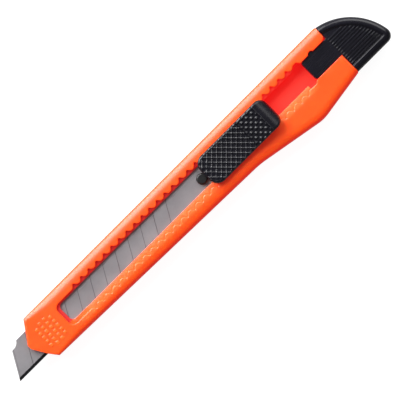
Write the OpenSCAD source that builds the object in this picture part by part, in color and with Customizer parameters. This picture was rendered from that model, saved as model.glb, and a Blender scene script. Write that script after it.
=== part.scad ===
// Snap-off utility knife: a moulded casing with a toothed slot, a thumb slider that
// carries a scored blade, and a pull-off end cap.
// The knife lies on its back: +Z is the face with the slider, +X runs from the blade's
// tip to the end cap, and +Y is the straight back edge. The origin is under the middle.

/* [Casing] */
// Length of the casing, from the blunt tip of the nose to its rear end
casing_length = 119.7; // [99:0.1:150]
// Thickness of the casing, from the back to the face
casing_thickness = 7; // [5.8:0.1:9]
// Height of the straight back edge above the blade's centre line
back_edge = 7.3; // [6.6:0.1:10]
// Depth of the belly edge below the centre line, at the nose
belly_at_nose = 7.1; // [6.6:0.1:9]
// Depth of the belly edge where the finger bulge starts
belly_at_bulge = 9; // [7.6:0.1:11]
// Depth of the belly edge at the crest of the finger bulge
bulge_depth = 12.8; // [11:0.1:16]
// Depth of the belly edge at the rear end
belly_at_rear = 10.3; // [8.6:0.1:12.5]
// Distance from the bulge's start to its crest
bulge_run_in = 21.5; // [15:0.5:30]
// Distance from the bulge's crest to the rear end
bulge_run_out = 16.2; // [12:0.1:20]
// Distance of the nose's corners behind its tip
nose_run = 4.4; // [3:0.1:6]
// Height of the nose's blunt tip
nose_flat = 1.5; // [1:0.1:3]
// Rounding of the long edges at the face
face_round = 2; // [0.5:0.1:2.2]
// Rounding of the long edges at the back
back_round = 1.4; // [0.5:0.1:2]
// Thickness of the wall that the slot is cut through
front_wall = 1.6; // [1.3:0.1:2.2]
// Depth of the moulded recess in the back
back_recess = 1; // [0.4:0.1:1.4]

/* [Slot and teeth] */
// Distance from the nose's tip to the front end of the slot
slot_front = 12.7; // [9:0.1:20]
// Width of the slot at the face, between the tips of the teeth
lip_width = 7.5; // [6.9:0.1:8]
// How far the slot and the slider sit to the belly's side of the blade's centre line
slot_drop = 0.35; // [0:0.05:0.4]
// Width of the opening between the ledges under the teeth
ledge_width = 6; // [5.4:0.1:6.4]
// Width of the opening in the plain stretch ahead of the teeth
plain_width = 5.9; // [4.2:0.1:6]
// Distance between neighbouring teeth
tooth_pitch = 3; // [2.4:0.1:4]
// Depth of the valleys between the teeth
tooth_depth = 1; // [0.7:0.05:1.2]
// Thickness of the teeth
tooth_height = 0.8; // [0.6:0.05:1]
// Depth of the slider's channel below the front wall
channel_depth = 2.4; // [1.9:0.1:2.6]
// Width of the slider's channel
channel_width = 7.2; // [6.8:0.1:8]

/* [Blade] */
// Width of the blade
blade_width = 9; // [7.5:0.1:10.8]
// Thickness of the blade
blade_thickness = 0.4; // [0.3:0.02:0.5]
// Length of the blade
blade_length = 80; // [76:1:96]
// Length of the first segment, at the tip
tip_length = 5.5; // [4.5:0.1:6]
// Length of one of the other snap-off segments
segment_pitch = 5; // [4.1:0.1:5]
// Angle of the score lines away from square to the blade
score_angle = 30; // [20:1:35]
// Width of the ground edge
bevel_width = 0.9; // [0.5:0.1:1.5]
// Depth of a score line
score_depth = 0.07; // [0.05:0.01:0.15]
// Diameter of the hole in the blade's tail
tail_hole = 3.3; // [2.4:0.1:3.6]
// Distance from the hole to the blade's rear end
hole_to_tail = 6.4; // [5:0.1:9]

/* [Slider] */
// Length of the thumb pad
pad_length = 26.5; // [24:0.1:32]
// Width of the thumb pad
pad_width = 9.6; // [9.4:0.1:12]
// Height of the pad's front part above the casing
pad_height = 2.4; // [2.2:0.1:3.5]
// Height of the pad's rear crest above the casing
crest_height = 3.6; // [2.6:0.1:5]
// Depth of the hollow for the thumb
thumb_hollow = 0.45; // [0.2:0.05:0.6]
// Clicks between the slider and the last tooth at the rear
clicks_behind = 11; // [11:1:14]
// Thickness of a spring arm
arm_thickness = 0.65; // [0.5:0.05:0.8]

/* [End cap] */
// Length of the tongue that closes the slot's rear end
tongue_length = 9.9; // [8.5:0.1:11]
// Distance of the tongue's back-edge side from the centre line
tongue_back = 3; // [2.6:0.1:3.2]
// Distance of the tongue's belly side from the centre line
tongue_belly = 3.5; // [3:0.1:3.6]
// Radius of the bump that snaps the tongue in
bump_radius = 1; // [0.7:0.1:1.2]
// Width of the cap's raised rim
rim_width = 1.9; // [1.2:0.1:2.4]
// Depth of the ribbed panel inside the rim
panel_depth = 0.6; // [0.4:0.1:1]
// Distance between the panel's ribs
rib_pitch = 0.84; // [0.7:0.02:1.4]

/* [Fits] */
// Gap between the slider's parts and the casing
glide_gap = 0.1; // [0.05:0.01:0.15]
// Gap above and below the blade in its slit
blade_play = 0.1; // [0.05:0.01:0.2]
// Gap at each edge of the blade in its slit
edge_play = 0.25; // [0.1:0.05:0.4]
// Gap between the stud and the hole in the blade's tail
stud_play = 0.05; // [0.02:0.01:0.1]
// Gap around the end cap's tongue
tongue_gap = 0.08; // [0.05:0.01:0.15]

/* [Hidden] */
$fn = 48;
// How far a cut runs past the face that it opens
over = 1;

// Levels, from the back up
slit_top = casing_thickness - front_wall;
slit_height = blade_thickness + 2 * blade_play;
slit_bottom = slit_top - slit_height;
channel_floor = slit_top - channel_depth;
tooth_floor = casing_thickness - tooth_height;
blade_bottom = slit_bottom + blade_play;
blade_top = blade_bottom + blade_thickness;
pad_bottom = casing_thickness + glide_gap;

// Outline of the casing: the nose's break, the bulge and the edge directions
nose_middle = 0.36;
nose_break_x = 0.57 * nose_run;
nose_break_drop = 2.5;
nose_break_y = nose_break_drop - belly_at_nose;
bulge_peak_x = casing_length - bulge_run_out;
bulge_start_x = bulge_peak_x - bulge_run_in;
nose_round = 0.7;

// Recess in the back: bays between ribs, inside a margin
bay_count = 5;
bay_rib = 1.2;
bay_margin = 3;
bays_front = 14;
bays_rear = 8;

// Directions of the belly edge
front_belly_slope = atan2(belly_at_nose - belly_at_bulge, bulge_start_x - nose_run);
bulge_slope = atan2(belly_at_bulge - bulge_depth, bulge_run_in);

// The teeth are laid out from the slot's rear end
window_x = casing_length - tongue_length;
end_notch_length = 2.9;
end_notch_depth = 0.65;
end_notch_step = 0.1;
end_notch_slope = 0.8;
last_tooth_x = window_x - end_notch_length - tooth_pitch * 0.6;
plain_run = 6.8;
slot_bottom_step = 1;
slot_bottom_front = slot_front + slot_bottom_step;
plain_end = slot_bottom_front + plain_run - 1;
tooth_count = floor((last_tooth_x - slot_bottom_front - plain_run) / tooth_pitch) + 1;
valley_mouth = 0.37 * tooth_pitch;
valley_floor = 0.16 * tooth_pitch;
lip_corner = 1.8;
opening_corner = 1.4;

// The slider rests in one of the valleys, and its pieces follow from that place
click_x = last_tooth_x - clicks_behind * tooth_pitch;
pad_to_click = 3.35;
stud_to_click = 4.6;
pad_x = click_x - pad_to_click;
stud_x = click_x - stud_to_click;
stud_radius = tail_hole / 2 - stud_play;
stud_round = 0.5;
stud_top = tooth_floor + stud_round;
keel_land = 0.75;
keel_front = stud_x - tail_hole / 2 - keel_land;
keel_to_pad_rear = 2.5;
keel_rear = pad_x + pad_length - keel_to_pad_rear;
channel_front = slot_bottom_front - 0.2;
tail_rear = stud_x + hole_to_tail;
score_run = tan(score_angle);
riser_gap = 0.3;
riser_front = tail_rear + blade_width / 2 * score_run + riser_gap;
stem_step = 0.7;
stem_front = riser_front + stem_step;
stem_length = 10.5;
stem_rear = stem_front + stem_length;
stem_socket = 1.1;
bridge_length = 1.6;
arm_clearance = 0.35;
arm_outer = lip_width / 2 - arm_clearance;
arm_inner = arm_outer - arm_thickness;
stem_clearance = 0.15;
stem_half = arm_inner - tooth_depth - stem_clearance;
spring_bottom = tooth_floor + glide_gap;
spring_top = casing_thickness - glide_gap;
nose_gap = 0.15;

// The thumb pad's side view
pad_front_round = 3;
pad_rear_round = 2.6;
hollow_run = 16.3;
ramp_run = 6.2;
pad_toe = 0.6;

// The blade's place along the knife
blade_front = tail_rear - blade_length;
segment_count = 12;
tip_x = blade_front - blade_width / 2 * score_run;
tip_notch_depth = 1.3;
tip_notch_level = blade_width / 2 - tip_notch_depth;
tip_notch_radius = 2.6;
tip_notch_flat = 0.6;

// The end cap is a quarter disc, centred on its own bottom edge
cap_step = 0.2;
cap_bottom = -(belly_at_rear - cap_step);
cap_height = back_edge - cap_step - cap_bottom;
cap_overshoot = 0.25;
cap_radius = cap_height + cap_overshoot;
cap_centre_x = casing_length - sqrt(pow(cap_radius, 2) - pow(cap_height, 2));
cap_heel = 2.4;
rim_round = 1.3;
bump_x = window_x + 4;
bump_inset = 0.5;
tongue_round = 0.8;
rail_corner = 1.6;
bottom_rim = 2.3;
rib_width = 0.4;
rib_height = 0.35;
rib_inset = 0.3;
panel_plain = 2.4;
tongue_top = casing_thickness - panel_depth;

// The whole knife is centred over the origin
knife_front = min(tip_x, 0);
knife_rear = cap_centre_x + cap_radius;
knife_middle_x = (knife_front + heel_end()) / 2;
knife_middle_y = (back_edge - bulge_depth) / 2;

// Furthest point of the cap, on the small arc that rounds its heel
function heel_end() = heel_x() + cap_heel;
function heel_x() = cap_centre_x + sqrt(pow(cap_radius - cap_heel, 2) - pow(cap_heel, 2));

module centred() {
    translate([-knife_middle_x, -knife_middle_y, 0]) children();
}

// ---- Casing ----

module casing_outline() {
    polygon([
        [casing_length, back_edge],
        [nose_run, back_edge],
        [0, nose_middle + nose_flat / 2],
        [0, nose_middle - nose_flat / 2],
        [nose_break_x, nose_break_y],
        [nose_run, -belly_at_nose],
        [bulge_start_x, -belly_at_bulge],
        [bulge_peak_x, -bulge_depth],
        [casing_length, -belly_at_rear],
    ]);
}

// What a rounding takes off a square edge, in section: the edge is at the origin.
// The arc runs out through both walls at a slight angle.
module rounding_section(radius) {
    run_out = 0.01;
    difference() {
        translate([-over, -radius]) square([radius + over, radius + over]);
        translate([radius, -radius]) circle(radius + run_out);
    }
}

// Cutter that rounds the outline's edge between two points, at the face and at the back.
// The material is on the left of the way from the first point to the second.
module round_edge(from, to, face_radius, back_radius) {
    run = to - from;
    translate([from[0], from[1], 0]) rotate([0, 0, atan2(run[1], run[0])])
        translate([-2 * over, 0, 0]) rotate([90, 0, 90])
            linear_extrude(norm(run) + 4 * over) {
                translate([0, casing_thickness]) rounding_section(face_radius);
                rotate(90) rounding_section(back_radius);
            }
}

// Half space ahead of the mitre plane at the start of the bulge, or behind it
module bulge_side(behind) {
    reach = casing_length;
    translate([bulge_start_x, -belly_at_bulge, -over])
        rotate([0, 0, (front_belly_slope + bulge_slope) / 2])
            translate([behind ? 0 : -reach, -reach / 2, 0])
                cube([reach, reach, casing_thickness + 2 * over]);
}

module casing_blank() {
    nose_top = [0, nose_middle + nose_flat / 2];
    nose_low = [0, nose_middle - nose_flat / 2];
    nose_break = [nose_break_x, nose_break_y];
    back_corner = [nose_run, back_edge];
    belly_corner = [nose_run, -belly_at_nose];
    bulge_start = [bulge_start_x, -belly_at_bulge];
    bulge_peak = [bulge_peak_x, -bulge_depth];
    difference() {
        linear_extrude(casing_thickness) casing_outline();
        round_edge([casing_length, back_edge], back_corner, face_round, back_round);
        round_edge(back_corner, nose_top, nose_round, nose_round);
        round_edge(nose_low, nose_break, nose_round, nose_round);
        round_edge(nose_break, belly_corner, nose_round, nose_round);
        intersection() {
            round_edge(belly_corner, bulge_start, face_round, back_round);
            bulge_side(false);
        }
        intersection() {
            round_edge(bulge_start, bulge_peak, face_round, back_round);
            bulge_side(true);
        }
        round_edge(bulge_peak, [casing_length, -belly_at_rear], face_round, back_round);
    }
}

// Outline of the slot's lip: a row of valleys with an arched floor on each side
module valley() {
    steps = 4;
    polygon(concat(
        [[-valley_mouth, -over], [-valley_mouth, 0]],
        [for (k = [0 : steps]) let (a = 180 - 180 * k / steps)
            [valley_floor * cos(a), tooth_depth - valley_floor * (1 - sin(a))]],
        [[valley_mouth, 0], [valley_mouth, -over]]
    ));
}

module slot_lip() {
    front = slot_front + lip_corner;
    half = lip_width / 2;
    translate([0, -slot_drop]) {
        translate([front, -half]) square([window_x - front, lip_width]);
        translate([slot_front, -half + lip_corner]) square([lip_corner, lip_width - 2 * lip_corner]);
        for (side = [-1, 1]) {
            translate([front, side * (half - lip_corner)]) circle(lip_corner);
        }
        for (side = [0, 1], k = [0 : tooth_count - 1]) {
            mirror([0, side]) translate([last_tooth_x - k * tooth_pitch, half]) valley();
        }
    }
}

module slot_opening() {
    corner = opening_corner;
    translate([slot_bottom_front + corner, -plain_width / 2])
        square([plain_end - slot_bottom_front - corner + over, plain_width]);
    translate([slot_bottom_front, -plain_width / 2 + corner])
        square([corner, plain_width - 2 * corner]);
    for (side = [-1, 1]) {
        translate([slot_bottom_front + corner, side * (plain_width / 2 - corner)]) circle(corner);
    }
    translate([plain_end, -ledge_width / 2]) square([window_x - plain_end + over, ledge_width]);
}

// Opening at the slot's rear end: a wide notch, then the window that the tongue fills
module tongue_window() {
    back = tongue_back + tongue_gap;
    belly = tongue_belly + tongue_gap;
    notch_back = lip_width / 2 - slot_drop;
    notch_belly = lip_width / 2 + slot_drop;
    notch_front = window_x - end_notch_length;
    polygon([
        [notch_front, -notch_belly],
        [notch_front + end_notch_slope, -notch_belly - end_notch_step],
        [window_x - end_notch_slope, -notch_belly - end_notch_step],
        [window_x, -belly],
        [window_x, back],
        [window_x - end_notch_slope, notch_back + end_notch_depth],
        [notch_front + end_notch_slope, notch_back + end_notch_depth],
        [notch_front, notch_back],
    ]);
    translate([window_x - over, -belly]) square([tongue_length + 2 * over, belly + back]);
    translate([bump_x, back - bump_inset]) circle(bump_radius + tongue_gap);
    translate([casing_length - rail_corner, back - over]) difference() {
        square([rail_corner + over, rail_corner + over]);
        translate([0, rail_corner + over]) circle(rail_corner);
    }
}

// Shallow recess in the back, crossed by stiffening ribs that end flush with the back
module back_panel() {
    bay = (casing_length - bays_front - bays_rear - (bay_count - 1) * bay_rib) / bay_count;
    for (k = [0 : bay_count - 1]) {
        translate([bays_front + k * (bay + bay_rib), bay_margin - belly_at_nose, -over])
            cube([bay, back_edge + belly_at_nose - 2 * bay_margin, back_recess + over]);
    }
}

module casing() {
    wall = front_wall + over;
    color("orangered") centred() difference() {
        casing_blank();
        translate([-over, -blade_width / 2 - edge_play, slit_bottom])
            cube([casing_length + 2 * over, blade_width + 2 * edge_play, slit_height]);
        translate([channel_front, -channel_width / 2, channel_floor])
            cube([casing_length - channel_front + over, channel_width, channel_depth]);
        translate([0, 0, tooth_floor]) linear_extrude(tooth_height + over) slot_lip();
        translate([0, 0, slit_top - blade_play]) linear_extrude(wall + blade_play) {
            slot_opening();
            tongue_window();
        }
        back_panel();
    }
}

// ---- End cap ----

module cap_outline() {
    intersection() {
        translate([cap_centre_x, cap_bottom]) circle(cap_radius);
        union() {
            translate([casing_length, cap_bottom])
                square([heel_x() - casing_length, cap_height + over]);
            translate([heel_x() - over, cap_bottom + cap_heel])
                square([cap_heel + 2 * over, cap_height]);
            translate([heel_x(), cap_bottom + cap_heel]) circle(cap_heel);
        }
    }
}

// Disc with a rounded rim: its quarter gives the cap its curved edge
module cap_disc() {
    translate([cap_centre_x, cap_bottom, 0]) rotate_extrude() {
        square([cap_radius - rim_round, casing_thickness]);
        translate([0, rim_round]) square([cap_radius, casing_thickness - 2 * rim_round]);
        for (level = [rim_round, casing_thickness - rim_round]) {
            translate([cap_radius - rim_round, level]) circle(rim_round);
        }
    }
}

// The panel inside the rim, open towards the casing
module cap_panel(inset) {
    intersection() {
        translate([cap_centre_x, cap_bottom]) circle(cap_radius - rim_width - inset);
        translate([casing_length - over + 2 * inset, cap_bottom + bottom_rim])
            square([cap_radius, cap_radius]);
    }
}

module cap_ribs() {
    ribs = floor((cap_height - rim_width - bottom_rim - panel_plain) / rib_pitch);
    intersection() {
        cap_panel(rib_inset);
        for (k = [0 : ribs - 1]) {
            translate([casing_length + rib_inset, cap_bottom + bottom_rim + rib_pitch * (k + 0.6)])
                square([cap_radius, rib_width]);
        }
    }
}

// One ribbed panel, sunk into a face at z = 0 with the material below it
module cap_recess() {
    difference() {
        translate([0, 0, -panel_depth]) linear_extrude(panel_depth + over) cap_panel(0);
        translate([0, 0, -panel_depth - over]) linear_extrude(rib_height + over) cap_ribs();
    }
}

// Tongue in the window, level with the panel, on a block that plugs the slider's channel
module cap_tongue() {
    front = window_x + tongue_gap;
    root = casing_length - front + over;
    plug_half = channel_width / 2 - tongue_gap;
    plug_bottom = channel_floor + tongue_gap;
    plug_top = slit_top - tongue_gap;
    translate([front, -plug_half, plug_bottom])
        cube([root, 2 * plug_half, plug_top - plug_bottom]);
    translate([0, 0, plug_top - over]) linear_extrude(tongue_top - plug_top + over) {
        translate([front + tongue_round, -tongue_belly])
            square([root - tongue_round, tongue_back + tongue_belly]);
        translate([front, -tongue_belly + tongue_round])
            square([tongue_round + over, tongue_back + tongue_belly - 2 * tongue_round]);
        translate([front + tongue_round, tongue_back - tongue_round]) circle(tongue_round);
        translate([front + tongue_round, -tongue_belly + tongue_round]) circle(tongue_round);
        translate([bump_x, tongue_back + tongue_gap - bump_inset]) circle(bump_radius);
    }
}

module end_cap() {
    color("dimgray") centred() {
        difference() {
            intersection() {
                linear_extrude(casing_thickness) cap_outline();
                cap_disc();
            }
            translate([0, 0, casing_thickness]) cap_recess();
            mirror([0, 0, 1]) cap_recess();
        }
        cap_tongue();
    }
}

// ---- Slider ----

module pad_plan() {
    half = pad_width / 2;
    rear = pad_length - pad_rear_round;
    translate([pad_front_round, -half]) square([rear - pad_front_round, pad_width]);
    translate([0, -half + pad_front_round]) square([pad_length / 2, pad_width - 2 * pad_front_round]);
    translate([pad_length / 2, -half + pad_rear_round])
        square([pad_length / 2, pad_width - 2 * pad_rear_round]);
    for (side = [-1, 1]) {
        translate([pad_front_round, side * (half - pad_front_round)]) circle(pad_front_round);
        translate([rear, side * (half - pad_rear_round)]) circle(pad_rear_round);
    }
}

// Side view of the pad: a hollow for the thumb, a ramp up to the crest and a rounded end
module pad_side() {
    crest = hollow_run + ramp_run;
    fall = pad_length - crest;
    hollow_radius = (pow(hollow_run / 2, 2) + pow(thumb_hollow, 2)) / (2 * thumb_hollow);
    difference() {
        polygon(concat(
            [[0, 0], [0, pad_height - pad_toe], [pad_toe, pad_height]],
            [[hollow_run, pad_height], [crest, crest_height]],
            [for (a = [80 : -10 : 0]) [crest + fall * cos(a), pad_toe + (crest_height - pad_toe) * sin(a)]],
            [[pad_length, 0]]
        ));
        translate([hollow_run / 2, pad_height - thumb_hollow + hollow_radius])
            circle(hollow_radius, $fn = 360);
    }
}

module thumb_pad() {
    color("black") centred() difference() {
        translate([pad_x, -slot_drop, pad_bottom]) intersection() {
            linear_extrude(crest_height) pad_plan();
            translate([0, pad_width / 2, 0]) rotate([90, 0, 0]) linear_extrude(pad_width) pad_side();
        }
        translate([stem_front, -stem_half - slot_drop, pad_bottom - over])
            cube([stem_length, 2 * stem_half, stem_socket + over]);
    }
}

module blade_carrier() {
    keel_half = channel_width / 2 - glide_gap;
    keel_bottom = channel_floor + glide_gap;
    riser_top = slit_top - glide_gap;
    stem_low_half = ledge_width / 2 - glide_gap;
    color("dimgray") centred() {
        translate([keel_front, -keel_half, keel_bottom])
            cube([keel_rear - keel_front, 2 * keel_half, blade_bottom - keel_bottom]);
        translate([riser_front, -keel_half, keel_bottom])
            cube([keel_rear - riser_front, 2 * keel_half, riser_top - keel_bottom]);
        translate([stem_front, -stem_low_half, keel_bottom])
            cube([stem_length, 2 * stem_low_half, tooth_floor - keel_bottom]);
        translate([stem_front, -stem_half - slot_drop, keel_bottom])
            cube([stem_length, 2 * stem_half, pad_bottom + stem_socket - keel_bottom]);
        translate([stud_x, -slot_drop, keel_bottom]) rotate_extrude() {
            square([stud_radius, stud_top - stud_round - keel_bottom]);
            square([stud_radius - stud_round, stud_top - keel_bottom]);
            translate([stud_radius - stud_round, stud_top - stud_round - keel_bottom]) intersection() {
                circle(stud_round);
                square(stud_round);
            }
        }
    }
}

// Fork of two spring arms around the stem; each arm ends in a nose that fits a valley
module click_spring() {
    nose_reach = lip_width / 2 + tooth_depth - nose_gap;
    nose_shoulder = lip_width / 2 + tooth_depth - valley_floor;
    nose_base = valley_mouth - nose_gap;
    arm_front = click_x - nose_base;
    fork_rear = stem_rear + bridge_length;
    color("gainsboro") centred() translate([0, -slot_drop, 0]) {
        translate([stem_rear, -arm_outer, spring_bottom])
            cube([bridge_length, 2 * arm_outer, pad_bottom - spring_bottom]);
        translate([0, 0, spring_bottom]) linear_extrude(spring_top - spring_bottom) {
            for (side = [0, 1]) mirror([0, side]) {
                translate([arm_front, arm_inner]) square([fork_rear - arm_front, arm_thickness]);
                polygon([
                    [click_x - nose_base, arm_inner],
                    [click_x - nose_base, arm_outer],
                    [click_x - valley_floor + nose_gap, nose_shoulder],
                    [click_x - nose_gap, nose_reach],
                    [click_x + nose_gap, nose_reach],
                    [click_x + valley_floor - nose_gap, nose_shoulder],
                    [click_x + nose_base, arm_outer],
                    [click_x + nose_base, arm_inner],
                ]);
            }
        }
    }
}

// ---- Blade ----

// Bar with the blade's section, ground to an edge on the belly side
module blade_bar() {
    half = blade_width / 2;
    translate([tip_x, 0, blade_bottom + blade_thickness / 2]) rotate([90, 0, 90])
        linear_extrude(blade_length + blade_width) polygon([
            [-half, 0],
            [bevel_width - half, -blade_thickness / 2],
            [half, -blade_thickness / 2],
            [half, blade_thickness / 2],
            [bevel_width - half, blade_thickness / 2],
        ]);
}

// Cutter that bevels a piece's top edge along the score line that crosses the centre
// line at x, so that two neighbours leave a V groove. The piece lies on the tip's side
// of the line (side 1) or on the tail's side (side -1).
module score_bevel(x, side) {
    reach = 2 * blade_width;
    translate([x, 0, blade_top - score_depth]) rotate([0, 0, 90 - score_angle])
        rotate([side * 45, 0, 0]) translate([-reach, -reach, 0])
            cube([2 * reach, 2 * reach, reach]);
}

// Length of the blade between two slanted lines, given where they cross the centre line
module blade_piece(from, to) {
    half = blade_width / 2 + over;
    lean = half * score_run;
    intersection() {
        blade_bar();
        translate([0, 0, blade_bottom - over]) linear_extrude(blade_thickness + 2 * over)
            polygon([[from - lean, -half], [to - lean, -half], [to + lean, half], [from + lean, half]]);
    }
}

// Where the score line behind segment n crosses the centre line
function score_x(n) = blade_front + tip_length + (n - 1) * segment_pitch;

// Relief of the tip's top corner: a level cut that runs up in a hollow arc
module tip_notch() {
    flat_end = blade_front + tip_notch_level * score_run + tip_notch_flat;
    translate([flat_end, tip_notch_level, blade_bottom - over])
        linear_extrude(blade_thickness + 2 * over) {
            translate([-tip_notch_radius, 0]) square([tip_notch_radius, tip_notch_radius]);
            translate([0, tip_notch_radius]) circle(tip_notch_radius);
        }
}

module blade_segment(n) {
    from = n == 1 ? blade_front : score_x(n - 1);
    color("lightgray") centred() difference() {
        blade_piece(from, score_x(n));
        if (n > 1) score_bevel(from, -1);
        score_bevel(score_x(n), 1);
        if (n == 1) tip_notch();
    }
}

module blade_tail() {
    from = score_x(segment_count);
    color("silver") centred() difference() {
        blade_piece(from, tail_rear);
        score_bevel(from, -1);
        translate([stud_x, -slot_drop, blade_bottom - over])
            cylinder(d = tail_hole, h = blade_thickness + 2 * over);
    }
}

casing();
end_cap();
thumb_pad();
blade_carrier();
click_spring();
blade_tail();
for (n = [1 : segment_count]) {
    blade_segment(n);
}
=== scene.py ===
import math
import bmesh
import bpy
import numpy as np
from mathutils import Matrix, Vector


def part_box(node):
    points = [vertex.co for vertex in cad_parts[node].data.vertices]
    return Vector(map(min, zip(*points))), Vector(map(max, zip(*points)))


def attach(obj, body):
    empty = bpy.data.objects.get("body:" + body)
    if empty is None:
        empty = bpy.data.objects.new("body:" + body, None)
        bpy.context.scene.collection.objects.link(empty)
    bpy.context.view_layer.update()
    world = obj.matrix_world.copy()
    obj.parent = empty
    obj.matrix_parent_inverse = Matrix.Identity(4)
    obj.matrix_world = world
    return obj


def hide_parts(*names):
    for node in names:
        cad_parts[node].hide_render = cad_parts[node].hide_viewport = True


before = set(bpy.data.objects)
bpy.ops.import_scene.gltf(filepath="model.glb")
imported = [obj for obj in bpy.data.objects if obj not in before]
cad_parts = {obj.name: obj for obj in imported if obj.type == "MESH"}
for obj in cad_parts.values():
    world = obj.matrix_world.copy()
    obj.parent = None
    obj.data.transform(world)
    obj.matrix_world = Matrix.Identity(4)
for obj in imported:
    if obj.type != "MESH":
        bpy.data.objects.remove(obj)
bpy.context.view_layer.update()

# ---------------------------------------------------------------------------------------
# Casing. One shot of glossy orange ABS, moulded round a core that leaves the slider's
# channel, the blade's slit and the toothed slot. The long edges are well rounded, less
# so towards the nose, and the back is cored out in five shallow bays.
# ---------------------------------------------------------------------------------------
casing_low, casing_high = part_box("casing")
blade_low, blade_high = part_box("blade_tail")
knife_zero = np.array([casing_low.x, (blade_low.y + blade_high.y) / 2, 0.0])   # nose tip, blade's centre line
length = (casing_high.x - casing_low.x) * 1000      # from here on a size is in millimetres
face = casing_high.z * 1000
back_edge = (casing_high.y - knife_zero[1]) * 1000
bulge_edge = (knife_zero[1] - casing_low.y) * 1000

nose_run, nose_middle, nose_half = 4.4, 0.36, 0.75
belly_nose, belly_bulge, belly_rear = 7.1, 9.0, 10.3
bulge_crest = length - 16.2
bulge_start = bulge_crest - 21.5
belly_corners = [0, 0.57 * nose_run, nose_run, bulge_start, bulge_crest, length, length + 5]
belly_edges = [nose_half - nose_middle, belly_nose - 2.5, belly_nose,
               belly_bulge, bulge_edge, belly_rear, belly_rear - 0.77]
bend_start, bend_reach = nose_run + 6, 1.8          # the belly's bends past here are soft

ledge_top, slit_top, slit_bottom, channel_floor = face - 0.8, face - 1.6, face - 2.2, face - 4.0
slit_half, channel_half = 4.75, 3.6
lip_half, ledge_half, plain_half = 3.75, 3.0, 2.95
slot_drop = 0.35                                    # the slot sits to the belly's side of the blade
lip_front, opening_front, plain_end = 12.7, 13.7, 19.5
lip_corner, opening_corner = 1.8, 1.4
channel_front = opening_front - 0.2

window = length - 9.9
window_back, window_belly, window_corner = 3.08, 3.58, 1.6
bump_place, bump_middle, bump_round = 4, 2.58, 1.08 # notch for the cap's bump
notch_start, notch_slope = window - 2.9, 0.8
notch_back, notch_belly = (3.4, 4.05), (4.1, 4.2)
tooth_pitch, tooth_depth, valley_mouth, valley_floor = 3.0, 1.0, 1.11, 0.48
tip_blur, toothed_from = 0.09, 16
last_tooth = notch_start - 0.6 * tooth_pitch
tooth_count = int((last_tooth - opening_front - 6.8) / tooth_pitch) + 1
first_tooth = last_tooth - (tooth_count - 1) * tooth_pitch

bay_front, bay_rear, bay_rib, bays, bay_depth = 14.0, length - 8, 1.2, 5, 1.0
bay_back, bay_belly = 4.3, 4.1
bay_length = (bay_rear - bay_front - (bays - 1) * bay_rib) / bays
bay_starts = bay_front + np.arange(bays) * (bay_length + bay_rib)

edge_wide, edge_high, back_round, end_round = 2.65, 1.5, 1.4, 0.45
belly_flat, belly_narrow, belly_wide = 5.45, 0.5, 2.6
nose_round, round_start, round_full = 0.4, 1, 13    # the edges' rounds are small at the nose
nose_wide, nose_widening, nose_end = 0.3, 0.5, 14
back_lip_round, belly_lip_round, small_round = 0.2, 0.3, 0.12


def smooth_step(x, start, end):
    """0 before start, 1 after end, and the cubic 3s^2 - 2s^3 between them."""
    s = np.clip((x - start) / (end - start), 0, 1)
    return s * s * (3 - 2 * s)


def blurred(shape, x, reach):
    """Mean of shape over the stretch x - reach .. x + reach, which rounds its corners."""
    return np.mean([shape(x + reach * k) for k in np.linspace(-1, 1, 9)], axis=0)


def outer_edge(x, side):
    """Distance of the casing's long edge from the centre line: the nose's slanted sides,
    then straight on the back (side 1), or tapering out to the bulge on the belly."""
    if side > 0:
        return np.interp(x, [0, nose_run, length], [nose_middle + nose_half, back_edge, back_edge])
    sharp = np.interp(x, belly_corners, belly_edges)
    soft = blurred(lambda s: np.interp(s, belly_corners, belly_edges), x, bend_reach)
    return np.where(x > bend_start, np.minimum(soft, bulge_edge), sharp)


def valley_depth(x):
    """How far the teeth's valleys reach past the tips: an arch at the bottom, then two
    straight flanks, at every pitch from the first tooth to the last."""
    nearest = np.clip(np.round((x - first_tooth) / tooth_pitch), 0, tooth_count - 1)
    off = np.abs(x - first_tooth - tooth_pitch * nearest)
    arch = tooth_depth - valley_floor + np.sqrt(np.clip(valley_floor**2 - off**2, 0, None))
    flank = (tooth_depth - valley_floor) * (valley_mouth - off) / (valley_mouth - valley_floor)
    return np.clip(np.where(off < valley_floor, arch, flank), 0, tooth_depth)


def corner_rise(x, start, half, radius):
    """Half-width of an opening whose front end is square with two quarter-round corners."""
    into = np.clip(start + radius - x, 0, radius)
    return np.where(x < start, 0, half - radius + np.sqrt(np.clip(radius**2 - into**2, 0, None)))


def window_edge(x, side):
    """Edge of the window at the slot's rear end: straight, with a round notch for the
    cap's bump and a rounded outer corner on the back's side."""
    if side < 0:
        return np.full_like(x, window_belly)
    from_bump = x - window - bump_place
    bump = bump_middle + np.sqrt(np.clip(bump_round**2 - from_bump**2, 0, None))
    into = np.clip(x - (length - window_corner), 0, window_corner)
    corner = window_back + window_corner - np.sqrt(np.clip(window_corner**2 - into**2, 0, None))
    notched = np.where(np.abs(from_bump) < bump_round, bump, window_back)
    return np.maximum(np.maximum(window_back, notched), corner)


def rear_notch(x, side):
    """Wide notch just ahead of the window, with slanted ends."""
    near, far = notch_back if side > 0 else notch_belly
    end = window_back if side > 0 else window_belly
    corners = [notch_start, notch_start + notch_slope, window - notch_slope, window]
    return np.interp(x, corners, [near, far, far, end])


def lip_edge(x, side):
    """Half-width of the slot at the face: the plain front with its round corners, plus the
    depth of the teeth's valleys, then the notch and the window."""
    front = corner_rise(x, lip_front, lip_half - side * slot_drop, lip_corner)
    slot = front + blurred(valley_depth, x, tip_blur) * (x > toothed_from)
    rear = np.where(x < window, rear_notch(x, side), window_edge(x, side))
    return np.where(x < notch_start, slot, rear)


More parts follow.
